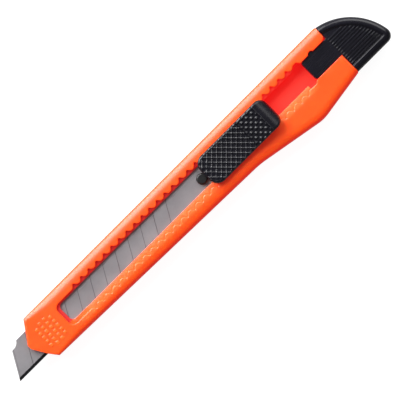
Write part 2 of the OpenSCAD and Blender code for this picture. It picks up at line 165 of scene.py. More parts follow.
def ledge_edge(x, side):
    """Half-width of the opening between the ledges, a little wider past its plain front."""
    plain = corner_rise(x, opening_front, plain_half, opening_corner)
    rear = np.where(x < window, rear_notch(x, side), window_edge(x, side))
    return np.where(x < plain_end, plain, np.where(x < notch_start, ledge_half, rear))


def back_recess(x):
    """Depth of the recess in the back: that of a bay inside one, none between the bays."""
    along = x[:, None]
    in_bay = ((along > bay_starts) & (along < bay_starts + bay_length)).any(axis=1)
    return np.where(in_bay, bay_depth, 0.0)


def line(points, count):
    """count equal steps along a straight run between two points, without its first one."""
    (y0, z0), (y1, z1) = points
    return [(y0 + (y1 - y0) * k / count, z0 + (z1 - z0) * k / count) for k in range(1, count + 1)]


def quarter(centre, wide, high, turn_from, turn_to, count):
    """Quarter of an ellipse about centre, between two angles in degrees."""
    y, z = centre
    angles = np.radians(np.linspace(turn_from, turn_to, count + 1)[1:])
    return [(y + wide * math.cos(a), z + high * math.sin(a)) for a in angles]


def casing_section(x, side):
    """One side of the casing cut across at every x: a line from the channel's floor, by
    the slit, the ledge and the slot's lip, over the face, the edge and the back. Also
    gives which stretch of it is each wall that opens up at the nose."""
    edge, lip, ledge = outer_edge(x, side), lip_edge(x, side), ledge_edge(x, side)
    centre = side * np.interp(x, [0, nose_run], [nose_middle, 0])
    hair = 0.02                                         # least width of a strip
    grown = smooth_step(x, round_start, round_full)
    full_wide = np.where(side > 0, edge_wide, np.clip(edge - belly_flat, belly_narrow, belly_wide))
    wide = np.interp(grown, [0, 1], [nose_round, 1]) * full_wide
    wide = np.where(x < nose_end, np.minimum(wide, nose_wide + nose_widening * x), wide)
    high = np.interp(grown, [0, 1], [nose_round, edge_high])
    back = np.interp(grown, [0, 1], [nose_round, back_round])
    lip_round = np.where(lip > 0, back_lip_round if side > 0 else belly_lip_round, 0)
    lip_round = np.where(x > window, small_round, lip_round)
    ledge_round = np.where((ledge > 0) & (x <= notch_start), small_round, 0)
    lip = np.where(lip > 0, lip, centre)
    ledge = np.where(ledge > 0, ledge, centre)
    wall = np.minimum(slit_half, edge)
    channel = np.minimum(channel_half, wall - hair)
    depth = np.where(x > channel_front, channel_floor, slit_bottom)
    recess = back_recess(x)
    bay = np.minimum(bay_back if side > 0 else bay_belly, edge - back - hair)
    stretch = {}
    path = [(centre, depth)]
    path += line([(centre, depth), (channel, depth)], 2)
    path += line([(channel, depth), (channel, slit_bottom)], 1)
    path += line([(channel, slit_bottom), (wall, slit_bottom)], 1)
    stretch["slit wall"] = len(path) - 1
    path += line([(wall, slit_bottom), (wall, slit_top)], 1)
    path += line([(wall, slit_top), (ledge, slit_top)], 1)
    stretch["ledge wall"] = len(path) - 1
    path += line([(ledge, slit_top), (ledge, ledge_top - ledge_round)], 1)
    path += quarter((ledge + ledge_round, ledge_top - ledge_round), ledge_round, ledge_round, 180, 90, 2)
    path += line([(ledge + ledge_round, ledge_top + 0 * x), (lip, ledge_top)], 1)
    stretch["lip wall"] = len(path) - 1
    path += line([(lip, ledge_top), (lip, face - lip_round)], 1)
    path += quarter((lip + lip_round, face - lip_round), lip_round, lip_round, 180, 90, 4)
    path += line([(lip + lip_round, face), (edge - wide, face)], 3)
    path += quarter((edge - wide, face - high), wide, high, 90, 0, 12)
    path += line([(edge, face - high), (edge, slit_top)], 1)
    stretch["slit band"] = len(path) - 1
    path += line([(edge, slit_top), (edge, slit_bottom)], 1)
    path += line([(edge, slit_bottom), (edge, back)], 1)
    path += quarter((edge - back, back), back, back, 0, -90, 7)
    path += line([(edge - back, 0), (bay, 0)], 1)
    path += line([(bay, 0), (bay, recess)], 1)
    path += line([(bay, recess), (centre, recess)], 2)
    full = [(np.broadcast_to(y, x.shape), np.broadcast_to(z, x.shape)) for y, z in path]
    return np.stack([np.stack(p, axis=-1) for p in full], axis=1), stretch


def stitched(grid, keep):
    """Quads between neighbouring rows and columns of a grid of points, where keep says so."""
    rows, columns = grid.shape[:2]
    first = (np.arange(rows - 1)[:, None] * columns + np.arange(columns - 1)[None, :])
    quads = np.stack([first, first + 1, first + columns + 1, first + columns], axis=-1)
    return quads[keep]


def closed_piece(name, points, quads, smooth_angle, fill=True, weighted=True, plates=()):
    """A mesh in the knife's own frame from points in millimetres: flat plates are added
    over the loops of points given, doubles are merged, flat scraps dropped, open ends
    filled, faces turned outwards and curved faces smoothed."""
    mesh = bpy.data.meshes.new(name)
    place = points.reshape(-1, 3) * 0.001 + knife_zero
    mesh.vertices.add(len(place))
    mesh.vertices.foreach_set("co", place.ravel())
    mesh.loops.add(quads.size)
    mesh.loops.foreach_set("vertex_index", quads.ravel().astype(np.int32))
    mesh.polygons.add(len(quads))
    mesh.polygons.foreach_set("loop_start", np.arange(len(quads), dtype=np.int32) * quads.shape[1])
    mesh.update(calc_edges=True)
    built = bmesh.new()
    built.from_mesh(mesh)
    built.verts.ensure_lookup_table()
    for loop in plates:
        built.faces.new([built.verts[i] for i in loop])
    bmesh.ops.remove_doubles(built, verts=built.verts, dist=1e-6)
    bmesh.ops.dissolve_degenerate(built, edges=built.edges, dist=1e-7)
    loose = [v for v in built.verts if not v.link_faces]
    bmesh.ops.delete(built, geom=loose, context="VERTS")
    if fill:
        bmesh.ops.holes_fill(built, edges=[e for e in built.edges if e.is_boundary], sides=0)
    bmesh.ops.recalc_face_normals(built, faces=built.faces)
    built.to_mesh(mesh)
    built.free()
    mesh.shade_smooth()
    mesh.set_sharp_from_angle(angle=math.radians(smooth_angle))
    piece = bpy.data.objects.new(name, mesh)
    bpy.context.collection.objects.link(piece)
    if weighted:
        weigh = piece.modifiers.new("even shading", "WEIGHTED_NORMAL")
        weigh.keep_sharp = True
    return piece


def stations():
    """Places of the cross-sections along the casing. A step in the outline has one
    section just before it and one just after."""
    step, fine, margin = 1e-7, 0.15, 2
    arcs = np.linspace(0, math.pi / 2, 9)
    bump_at = window + bump_place
    jumps = np.concatenate([
        [lip_front, channel_front, opening_front, plain_end, notch_start, window],
        [bump_at - bump_round, bump_at + bump_round], bay_starts, bay_starts + bay_length])
    slit_breaks = [np.interp(slit_half, [nose_middle + nose_half, back_edge], [0, nose_run]),
                   np.interp(slit_half, belly_edges[:3], belly_corners[:3])]
    toothed = first_tooth - margin + np.arange(int((last_tooth - first_tooth + 2 * margin) / fine)) * fine
    places = np.concatenate([
        np.linspace(0, nose_run, 9), [belly_corners[1]], slit_breaks, np.linspace(nose_run, lip_front, 12),
        lip_front + lip_corner * (1 - np.cos(arcs)), opening_front + opening_corner * (1 - np.cos(arcs)),
        np.linspace(15, first_tooth - margin, 5), toothed, [notch_start + notch_slope, window - notch_slope],
        bump_at + bump_round * np.cos(np.linspace(0, math.pi, 17)),
        length - window_corner + window_corner * np.sin(arcs),
        length - end_round + end_round * np.sin(arcs), np.linspace(window, length, 8)])
    near = np.abs(places[:, None] - jumps).min(axis=1) < 1e-4
    at = np.concatenate([places[~near], jumps - step, jumps + step])
    return np.unique(np.round(np.clip(at, 0, length), 9))


def make_casing():
    """Sections of both sides at every station, joined along the knife. The slit has no
    walls where it leaves the nose, and the slot none ahead of its front end. The rear
    end's outer edges are pulled in along a quarter round."""
    x = stations()
    into = np.clip(x - length + end_round, 0, end_round)
    eased = (end_round - np.sqrt(end_round**2 - into**2))[:, None]
    points, quads, offset = [], [], 0
    for side in (1, -1):
        section, stretch = casing_section(x, side)
        edge = outer_edge(x, side)
        grid = np.empty(section.shape[:2] + (3,))
        grid[..., 0] = np.round(x, 5)[:, None]
        grid[..., 1] = side * np.minimum(section[..., 0], edge[:, None] - eased)
        grid[..., 2] = np.clip(section[..., 1], eased, face - eased)
        keep = np.ones((len(x) - 1, section.shape[1] - 1), bool)
        open_side = edge <= slit_half + 1e-6
        for wall, missing in (("slit wall", open_side), ("slit band", open_side),
                              ("ledge wall", ledge_edge(x, side) == 0), ("lip wall", lip_edge(x, side) == 0)):
            keep[missing[:-1] & missing[1:], stretch[wall]] = False
        points.append(grid.reshape(-1, 3))
        quads.append(stitched(grid, keep) + offset)
        offset += grid.size // 3
    return closed_piece("casing_shell", np.concatenate(points), np.concatenate(quads), 40)


def new_finish(name):
    """A new material with its shader, and short ways to add a node and a link."""
    finish = bpy.data.materials.new(name)
    finish.use_nodes = True
    tree = finish.node_tree

    def add(kind, inputs=None):
        """A node whose named sockets are given a value or a link."""
        made = tree.nodes.new("ShaderNode" + kind)
        for socket, value in (inputs or {}).items():
            if isinstance(value, bpy.types.NodeSocket):
                tree.links.new(value, made.inputs[socket])
            else:
                made.inputs[socket].default_value = value
        return made

    return finish, tree.nodes["Principled BSDF"], add, tree.links.new


def moulded(name, colour, deep, roughness, spread, glow, grain):
    """Moulded plastic: two tones in clouds a centimetre wide, fine grain from the tool's
    surface, and faint scuffs that change the gloss by the spread. With a glow, light
    spreads under the skin, and a weak red emission is added as a painted glow that
    lifts the plastic's shade towards red."""
    finish, shader, add, link = new_finish(name)
    place = add("TexCoord").outputs["Object"]
    flow = add("Mapping", {"Vector": place, "Scale": (0.5, 1, 1)})
    cloud = add("TexNoise", {"Vector": flow.outputs["Vector"], "Scale": 110.0, "Detail": 3.0,
                             "Roughness": 0.55})
    tone = add("ValToRGB", {"Fac": cloud.outputs["Fac"]})
    tone.color_ramp.elements[0].position, tone.color_ramp.elements[1].position = 0.32, 0.68
    tone.color_ramp.elements[0].color = (*deep, 1)
    tone.color_ramp.elements[1].color = (*colour, 1)
    link(tone.outputs["Color"], shader.inputs["Base Color"])
    scuffed = add("Mapping", {"Vector": place, "Scale": (160, 1900, 1900), "Rotation": (0, 0, 0.35)})
    scuffs = add("TexNoise", {"Vector": scuffed.outputs["Vector"], "Scale": 1.0, "Detail": 2.0})
    gloss = add("MapRange", {"Value": scuffs.outputs["Fac"], "From Min": 0.35, "From Max": 0.75,
                             "To Min": roughness - spread / 2, "To Max": roughness + spread / 2})
    link(gloss.outputs["Result"], shader.inputs["Roughness"])
    pores = add("TexNoise", {"Vector": place, "Scale": 2600.0, "Detail": 2.0})
    skin = add("Bump", {"Height": pores.outputs["Fac"], "Strength": grain, "Distance": 0.00002})
    waves = add("Bump", {"Height": cloud.outputs["Fac"], "Strength": 0.1, "Distance": 0.0002,
                         "Normal": skin.outputs["Normal"]})
    link(waves.outputs["Normal"], shader.inputs["Normal"])
    if glow:
        shader.inputs["Subsurface Weight"].default_value = glow
        shader.inputs["Subsurface Scale"].default_value = 0.0012
        shader.inputs["Subsurface Radius"].default_value = (1.0, 0.15, 0.08)
        # Painted glow: a weak red emission that lifts the shade towards red.
        shader.inputs["Emission Color"].default_value = (1.0, 0.01, 0.01, 1)
        shader.inputs["Emission Strength"].default_value = 0.12
    return finish


def with_painted_shade_and_glow(finish):
    """The orange's colour and glow are painted in zones, standing in for light and shade;
    each zone is a product of ramps along, across and down through the knife: deep is
    all that lies under the slot's lip, down to the bays in the back, painted dark red as
    shade; rear its stretch behind the slider, painted a brighter red with more glow; belly
    the round of the belly's edge, painted darker red as shade; and the lip highlight a
    paler strip painted along the slot's lower lip."""
    tree = finish.node_tree
    shader = tree.nodes["Principled BSDF"]

    def sum_of(operation, *values):
        """One step of arithmetic on numbers or sockets."""
        made = tree.nodes.new("ShaderNodeMath")
        made.operation = operation
        for socket, value in zip(made.inputs, values):
            if isinstance(value, bpy.types.NodeSocket):
                tree.links.new(value, socket)
            else:
                socket.default_value = value
        return made.outputs[0]

    def ramp(value, low, high):
        """0 at low and 1 at high, in millimetres, and the cubic 3s^2 - 2s^3 between them."""
        made = tree.nodes.new("ShaderNodeMapRange")
        made.interpolation_type = "SMOOTHSTEP"
        tree.links.new(value, made.inputs["Value"])
        made.inputs["From Min"].default_value, made.inputs["From Max"].default_value = low / 1000, high / 1000
        return made.outputs["Result"]

    def product(first, *others):
        """All the amounts multiplied together: a zone lies where each of them is 1."""
        for other in others:
            first = sum_of("MULTIPLY", first, other)
        return first

    place = tree.nodes.new("ShaderNodeTexCoord").outputs["Object"]
    apart = tree.nodes.new("ShaderNodeSeparateXYZ")
    tree.links.new(place, apart.inputs["Vector"])
    along = sum_of("SUBTRACT", apart.outputs["X"], float(knife_zero[0]))
    across = sum_of("SUBTRACT", apart.outputs["Y"], float(knife_zero[1]))
    level = apart.outputs["Z"]
    inside = product(ramp(sum_of("ABSOLUTE", across), slit_half + 0.2, slit_half + 0.1),
                     ramp(along, lip_front - 1.2, lip_front - 0.2))
    below_lip = sum_of("MAXIMUM", ramp(across, -2.9, -2.2), ramp(level, slit_bottom + 0.3, slit_bottom))
    # deep: the recesses under the slot's lip and the cavity, painted dark red as shade.
    deep = product(inside, ramp(level, face - 0.3, face - 0.65), below_lip)
    # rear: the cavity behind the slider, painted a brighter red with extra painted glow.
    rear = product(deep, ramp(along, 84, 90))
    # belly: the round of the belly's edge, painted darker red as shade, with a little more painted glow.
    belly = product(ramp(level, face - 0.05, face - 0.9), ramp(level, face - 3, face - 1.6),
                    ramp(across, -4.2, -5.4))
    # A paler strip painted along the slot's lower lip as a highlight.
    painted_lip_highlight = product(ramp(across, -6, -4.9), ramp(across, -2.9, -3.2), ramp(along, 14, 18),
                     ramp(along, window, window - 3))
    base = shader.inputs["Base Color"].links[0].from_socket
    # Each zone's painted colour is mixed over the clouds in turn: painted shade on the belly's round, a
    # painted highlight on the lower lip, painted shade in the recesses and a brighter painted red behind the
    # slider.
    for amount, colour in ((belly, (0.8, 0.026, 0.002, 1)),
                           (sum_of("MULTIPLY", painted_lip_highlight, 0.75), (0.85, 0.17, 0.03, 1)),
                           (deep, (0.4, 0.003, 0.002, 1)),
                           (rear, (0.4, 0.018, 0.001, 1))):
        mixed = tree.nodes.new("ShaderNodeMixRGB")
        tree.links.new(amount, mixed.inputs["Fac"])
        tree.links.new(base, mixed.inputs["Color1"])
        mixed.inputs["Color2"].default_value = colour
        base = mixed.outputs["Color"]
    tree.links.new(base, shader.inputs["Base Color"])
    shader.inputs["Specular IOR Level"].default_value = 0.65
    # Painted red glow: 0.28 over all the orange, more on the belly's round and most behind the slider.
    glow = sum_of("MULTIPLY_ADD", rear, 0.35, sum_of("MULTIPLY_ADD", belly, 0.08, 0.28))
    tree.links.new(glow, shader.inputs["Emission Strength"])
    dull = sum_of("MULTIPLY_ADD", deep, 0.25, shader.inputs["Roughness"].links[0].from_socket)
    tree.links.new(dull, shader.inputs["Roughness"])
    return finish


# The orange gets painted shade, a painted highlight and a painted red glow in zones.
orange = with_painted_shade_and_glow(moulded("orange_moulding", (0.85, 0.094, 0.002), (0.82, 0.084, 0.001),
                          roughness=0.37, spread=0.05, glow=0.3, grain=0.12))
casing = make_casing()
casing.data.materials.append(orange)
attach(casing, "casing")
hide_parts("casing")


# ---------------------------------------------------------------------------------------
# Raised marks on the nose. Four rows of short bars, moulded in one with the casing and
# only a tenth of a millimetre proud, so that the nose isn't slippery.
# ---------------------------------------------------------------------------------------
def bars(centre_x, centre_y, half_x, half_y, base, height, sink, end_power, side_power,
         face_up=1, steps=(13, 9)):
    """Closed bars, one for each centre: over a bar's rectangle the height goes as the
    root of (1 - |u|^a)(1 - |v|^b), and a flat sheet closes it underneath, sunk into its
    base. face_up is -1 for bars that hang from the back."""
    u = np.sin(np.linspace(-1, 1, steps[0]) * math.pi / 2)[:, None]
    v = np.sin(np.linspace(-1, 1, steps[1]) * math.pi / 2)[None, :]
    rise = np.sqrt((1 - np.abs(u)**end_power) * (1 - np.abs(v)**side_power))
    sheets, quads, offset = [], [], 0
    for x, y, wide, deep in zip(*np.broadcast_arrays(centre_x, centre_y, half_x, half_y)):
        for level in (height * rise, 0 * rise):
            grid = np.empty(rise.shape + (3,))
            grid[..., 0] = x + wide * u
            grid[..., 1] = y + deep * v
            grid[..., 2] = base + face_up * (level - sink)
            sheets.append(grid.reshape(-1, 3))
            quads.append(stitched(grid, np.ones((steps[0] - 1, steps[1] - 1), bool)) + offset)
            offset += grid.size // 3
    return np.concatenate(sheets), np.concatenate(quads)


mark_columns = np.array([4.85, 6.6, 8.4, 10.1])
mark_reach = np.array([3.2, 3.9, 3.9, 3.3])
mark_pitch, mark_jitter, mark_drop, mark_wide = 1.45, 0.08, 0.3, 0.5
mark_random = np.random.default_rng(7)
mark_x, mark_y, mark_half = [], [], []
for column, reach in zip(mark_columns, mark_reach):
    rows = np.arange(-reach, reach + 0.01, mark_pitch)
    mark_x += [column] * len(rows)
    mark_y += list(rows + mark_random.uniform(-mark_jitter, mark_jitter, len(rows)))
    mark_half += list(mark_random.uniform(0.5, 0.6, len(rows)))
points, quads = bars(np.array(mark_x), np.array(mark_y) - mark_drop, mark_wide, np.array(mark_half),
                     face, height=0.12, sink=0.04, end_power=4, side_power=4)
marks = closed_piece("nose_marks", points, quads, 60, fill=False, weighted=False)
mark_orange = moulded("mark_moulding", (0.88, 0.135, 0.012), (0.85, 0.12, 0.01),
                      roughness=0.4, spread=0.05, glow=0.0, grain=0.12)
marks.data.materials.append(mark_orange)
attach(marks, "casing")

# ---------------------------------------------------------------------------------------
# End cap. Black moulded plug: a quarter disc with a rounded rim and a ribbed panel on
# each side, and a tongue that slides into the slot's rear end and snaps in with a bump.
# ---------------------------------------------------------------------------------------
cap_low, cap_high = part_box("end_cap")
cap_bottom = (cap_low.y - knife_zero[1]) * 1000
cap_height = (cap_high.y - cap_low.y) * 1000
cap_radius = cap_height + 0.25
cap_centre = length - math.sqrt(cap_radius**2 - cap_height**2)
heel, least_heel = 2.4, 0.25
parting = 0.08                                          # gap between the cap and the casing
panel_depth = 0.6
rim_high, arc_rim, bottom_rim = 1.5, 1.45, 1.9          # the rim's round along arc and bottom
arc_land, bottom_land = 1.8, 2.1                        # flat top of the rim reaches this far in
arc_slope, bottom_slope = 0.9, 0.35                     # and slopes down to the panel over this


def cap_row(arc_in, bottom_in):
    """Outline of the cap from its front end round again to its front end, pulled in from
    the arc and from the bottom: the big arc, the heel's arc and the straight bottom."""
    left = length + parting - cap_centre
    small = np.maximum(heel - arc_in, least_heel)
    radius = cap_radius - arc_in
    heel_y = bottom_in + small
    heel_x = np.sqrt((radius - small)**2 - heel_y**2)
    turn = np.arctan2(heel_y, heel_x)
    start = np.arccos(left / radius)
    arc = start[:, None] + (turn - start)[:, None] * np.linspace(0, 1, 81)[None, :-1]
    bend = turn[:, None] + (-math.pi / 2 - turn)[:, None] * np.linspace(0, 1, 19)[None, :-1]
    run = np.linspace(0, 1, 21)[None, :]
    x = np.concatenate([radius[:, None] * np.cos(arc), heel_x[:, None] + small[:, None] * np.cos(bend),
                        heel_x[:, None] + (left - heel_x)[:, None] * run], axis=1)
    y = np.concatenate([radius[:, None] * np.sin(arc), heel_y[:, None] + small[:, None] * np.sin(bend),
                        bottom_in[:, None] + 0 * run], axis=1)
    return cap_centre + x, cap_bottom + y


def make_cap_body():
    """Rows of the outline stacked from the panel on the face, over the rim and down the
    edge to the panel on the back. Returns the loops of both panels' floors as well."""
    turn = np.radians(np.linspace(0, 90, 10))
    slope = np.linspace(0, 1, 7)[1:]
    arc_in = np.concatenate([[0], arc_rim * (1 - np.cos(turn)), [arc_land], arc_land + arc_slope * slope])
    bottom_in = np.concatenate([[0], bottom_rim * (1 - np.cos(turn)), [bottom_land],
                                bottom_land + bottom_slope * slope])
    level = np.concatenate([[face / 2], face - rim_high * (1 - np.sin(turn)), [face],
                            face - panel_depth * smooth_step(slope, 0, 1)])
    arc_in, bottom_in = (np.concatenate([a[::-1], a[1:]]) for a in (arc_in, bottom_in))
    level = np.concatenate([level[::-1], face - level[1:]])
    x, y = cap_row(arc_in, bottom_in)
    grid = np.stack([x, y, np.broadcast_to(level[:, None], x.shape)], axis=-1)
    index = np.arange(grid.shape[0] * grid.shape[1]).reshape(grid.shape[:2])
    quads = stitched(grid, np.ones((grid.shape[0] - 1, grid.shape[1] - 1), bool))
    return (grid.reshape(-1, 3), quads), [index[0], index[-1]]


def make_tongue():
    """Sections of a flat bar with rounded edges, carried along the knife. Its front
    corners are quarter rounds, and a bump stands out of one side."""
    front, corner, edge, root = window + parting, 0.8, 0.22, 0.5
    bump_at, bump_half = bump_place - parting, bump_round - parting
    near = np.concatenate([corner * (1 - np.cos(np.linspace(0, math.pi / 2, 11))),
                           np.linspace(corner, 2.8, 6), bump_at + 1.02 * np.cos(np.linspace(math.pi, 0, 25)),
                           [5.5, 7, 9, length - front + root]])
    x = front + np.unique(near)
    into = np.clip(front + corner - x, 0, corner)
    corner_in = corner - np.sqrt(corner**2 - into**2)
    from_bump = x - window - bump_place
    bump = bump_middle + np.sqrt(np.clip(bump_half**2 - from_bump**2, 0, None))
    high = np.maximum(window_back - parting - corner_in, np.where(np.abs(from_bump) < bump_half, bump, 0))
    low = parting - window_belly + corner_in
    into = np.clip(front + edge - x, 0, edge)
    top = face - panel_depth - 0.01 - edge + np.sqrt(edge**2 - into**2)
    foot = 0 * x + channel_floor + 0.1
    turn = np.radians(np.linspace(0, 90, 6))
    y = [low] + [low + edge * (1 - math.cos(a)) for a in turn]
    z = [foot] + [top - edge * (1 - math.sin(a)) for a in turn]
    across = np.linspace(0, 1, 6)[1:-1]
    y += [low + edge + (high - low - 2 * edge) * s for s in across]
    z += [top for s in across]
    y += [high - edge * (1 - math.cos(a)) for a in turn[::-1]] + [high]
    z += [top - edge * (1 - math.sin(a)) for a in turn[::-1]] + [foot]
    ring = np.stack([np.broadcast_to(x, (len(y), len(x))), np.array(y), np.array(z)], axis=-1)
    ring = ring.transpose(1, 0, 2)
    ring = np.concatenate([ring, ring[:, :1]], axis=1)
    return ring.reshape(-1, 3), stitched(ring, np.ones((ring.shape[0] - 1, ring.shape[1] - 1), bool))


def joined(*parts):
    """Several lists of points and quads as one."""
    starts = np.cumsum([0] + [len(p) for p, _ in parts])[:-1]
    moved = [q + s for (_, q), s in zip(parts, starts)]
    return np.concatenate([p for p, _ in parts]), np.concatenate(moved)


rib_pitch, rib_count, rib_thick, rib_margin = 0.84, 12, 0.46, 2.45
first_rib = cap_bottom + 2.5 + 0.6 * rib_pitch
rib_y = first_rib + rib_pitch * np.arange(rib_count)
rib_end = cap_centre + np.sqrt((cap_radius - rib_margin)**2 - (rib_y - cap_bottom)**2)
rib_start = length + 0.1
rib_middle, rib_half = (rib_start + rib_end) / 2, (rib_end - rib_start) / 2
rib_form = {"height": 0.28, "sink": 0.03, "end_power": 40, "side_power": 7}
ribs_front = bars(rib_middle, rib_y, rib_half, rib_thick / 2, face - panel_depth, **rib_form)
ribs_back = bars(rib_middle, rib_y, rib_half, rib_thick / 2, panel_depth, face_up=-1, **rib_form)
body, floors = make_cap_body()
points, quads = joined(body, make_tongue(), ribs_front, ribs_back)
cap = closed_piece("cap_moulding", points, quads, 50, plates=floors)
black = moulded("black_moulding", (0.0062, 0.0058, 0.0105), (0.0036, 0.0034, 0.0066),
                roughness=0.27, spread=0.06, glow=0.0, grain=0.2)
cap.data.materials.append(black)
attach(cap, "end_cap")
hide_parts("end_cap")

# ---------------------------------------------------------------------------------------
# Thumb pad. Black moulding with a hollow for the thumb and a ramp behind it, both cut
# with crossing ridges for grip, and a smooth rounded end that stands highest.
# ---------------------------------------------------------------------------------------
pad_low, pad_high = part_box("thumb_pad")
pad_front = (pad_low.x - knife_zero[0]) * 1000
pad_length = (pad_high.x - pad_low.x) * 1000
pad_half = (pad_high.y - pad_low.y) * 500
pad_middle = (pad_high.y + pad_low.y) * 500 - knife_zero[1] * 1000
front_corner, rear_corner = 3.0, 2.6
pad_bottom = pad_low.z * 1000
pad_height, hollow_run, ramp_run, thumb_hollow = 2.4, 16.3, 6.2, 0.45
crest_height, fall_height = 3.6, 0.6
crest = hollow_run + ramp_run
outline_round, least_height = 0.6, 0.25
ridge_pitch, ridge_width, point_reach = 1.37, 0.44, 0.48
ridge_height, knot_height, point_height = 0.18, 0.12, 0.32
lattice_x, lattice_y = 17.45, 1.17                      # a crossing of two ridges
border_start, border_full = 0.1, 0.5                    # the pattern grows over this strip
groove_clear, groove_width, groove_depth = 0.22, 0.2, 0.1
sunk_depth, fade_start, fade_end = 0.22, 0.35, 0.1      # the pattern ends ahead of the crest
step_height, step_width = 0.08, 0.12


def pad_edge_distance(x, y):
    """Distance inwards from the pad's outline, a rectangle with quarter-round corners."""
    corner = np.where(x < pad_length / 2, front_corner, rear_corner)
    across = np.abs(y) - (pad_half - corner)
    along = np.abs(x - pad_length / 2) - (pad_length / 2 - corner)
    outside = np.hypot(np.maximum(across, 0), np.maximum(along, 0))
    return corner - outside - np.minimum(np.maximum(across, along), 0)


def from_ridge(place):
    """Distance from the nearest ridge of a row that has one at every pitch."""
    return np.abs((place / ridge_pitch + 0.5) % 1 - 0.5) * ridge_pitch


def pad_surface(x, y):
    """Height of the pad's top: a shallow arc, a ramp up to the crest and an elliptic
    fall. Ahead of the crest it is sunk, and carries parabolic ridges that cross in the
    hollow and domes where they would cross on the ramp, with a bell-shaped groove
    between the two. The outline is rounded off."""
    hollow = pad_height - thumb_hollow * (1 - ((x - hollow_run / 2) / (hollow_run / 2))**2)
    ramp = pad_height + (crest_height - pad_height) * (x - hollow_run) / ramp_run
    rest = np.sqrt(np.clip(1 - ((x - crest) / (pad_length - crest))**2, 0, 1))
    fall = fall_height + (crest_height - fall_height) * rest
    shape = np.where(x < hollow_run, hollow, np.where(x < crest, ramp, fall))
    edge = pad_edge_distance(x, y)
    along, across = x - lattice_x, y - lattice_y
    one, two = from_ridge((along + across) / math.sqrt(2)), from_ridge((along - across) / math.sqrt(2))
    crest_one, crest_two = (np.clip(1 - (2 * off / ridge_width)**2, 0, 1) for off in (one, two))
    ridges = ridge_height * np.maximum(crest_one, crest_two) + knot_height * crest_one * crest_two
    domes = point_height * np.clip(1 - (one**2 + two**2) / point_reach**2, 0, 1)
    pattern = np.where(x < hollow_run, ridges, domes)
    clear = 1 - np.exp(-((x - hollow_run) / groove_clear)**2)
    ahead = (1 - smooth_step(x, crest - fade_start, crest - fade_end)) * clear
    inside = smooth_step(edge, border_start, border_full) * ahead
    groove = groove_depth * np.exp(-((x - hollow_run) / groove_width)**2)
    sunk = np.abs(sunk_depth * ahead - groove)
    step = step_height * np.exp(-((x - crest) / step_width)**2) * smooth_step(edge, 0.2, 0.6)
    fallen = np.clip(outline_round - edge, 0, outline_round)
    drop = outline_round - np.sqrt(outline_round**2 - fallen**2)
    return np.maximum(shape - sunk + pattern * inside + step - drop, least_height)


def make_pad():
    """Rings across the pad: up one side, over the top in fine steps, down the other side
    and back underneath."""
    fine, border = 0.085, 0.2
    front_ease, rear_ease = (1 - np.cos(np.linspace(0, math.pi / 2, count)) for count in (14, 26))
    x = np.unique(np.concatenate([front_corner * front_ease, np.arange(front_corner, crest + 1, fine),
                                  pad_length - (pad_length - crest - 1) * rear_ease]))
    corner = np.where(x < pad_length / 2, front_corner, rear_corner)
    into = np.clip(np.maximum(corner - x, x - (pad_length - corner)), 0, corner)
    half = pad_half - corner + np.sqrt(corner**2 - into**2)
    half = half[:, None]
    inner = np.linspace(-1, 1, 105)
    close = np.array([0.0, 0.01, 0.04, 0.09, 0.16])
    y = half * inner[None, 1:-1] * (1 - border / pad_half)
    y = np.concatenate([-half + close * half / pad_half, y, half - close[::-1] * half / pad_half], axis=1)
    z = pad_bottom + pad_surface(x[:, None], y)
    foot = np.full((len(x), 1), pad_bottom)
    y = np.concatenate([-half, y, half, -half], axis=1)
    z = np.concatenate([foot, z, foot, foot], axis=1)
    grid = np.stack([np.broadcast_to(pad_front + x[:, None], y.shape), pad_middle + y, z], axis=-1)
    return grid.reshape(-1, 3), stitched(grid, np.ones((grid.shape[0] - 1, grid.shape[1] - 1), bool))


pad = closed_piece("pad_moulding", *make_pad(), 60, weighted=False)
pad.data.materials.append(black)
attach(pad, "slider")
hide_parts("thumb_pad")

# ---------------------------------------------------------------------------------------
# Blade carrier and click spring. The carrier is a black moulded block in the channel: its
# round stud goes through the hole in the blade. The spring is natural acetal.
# ---------------------------------------------------------------------------------------
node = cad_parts
carrier_black = moulded("carrier_moulding", (0.012, 0.012, 0.013), (0.007, 0.007, 0.008),
                        roughness=0.4, spread=0.1, glow=0.0, grain=0.4)
# The acetal's glow also gives it a faint painted red emission.
acetal = moulded("natural_acetal", (0.62, 0.6, 0.55), (0.52, 0.5, 0.45),
                 roughness=0.4, spread=0.1, glow=0.1, grain=0.3)


def paint(name, finish):
    """Gives every slot of a CAD node the finish."""
    for used in node[name].material_slots:
        used.material = finish


paint("blade_carrier", carrier_black)
paint("click_spring", acetal)

# ---------------------------------------------------------------------------------------
# Blade. Hardened carbon steel strip with a rolled, lightly oiled finish, scored into
# segments. One edge is ground on both sides, with the marks of the wheel across it.
# ---------------------------------------------------------------------------------------
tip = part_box("blade_segment_01")[0]
ground_width, ground_blur = 0.00085, 0.00005            # these and the next ones are in metres
score_lean = math.tan(math.radians(30))
score_pitch, scored_run = 0.005, 0.0575
first_score = tip.x + (blade_high.y - blade_low.y) / 2 * score_lean + 0.0055


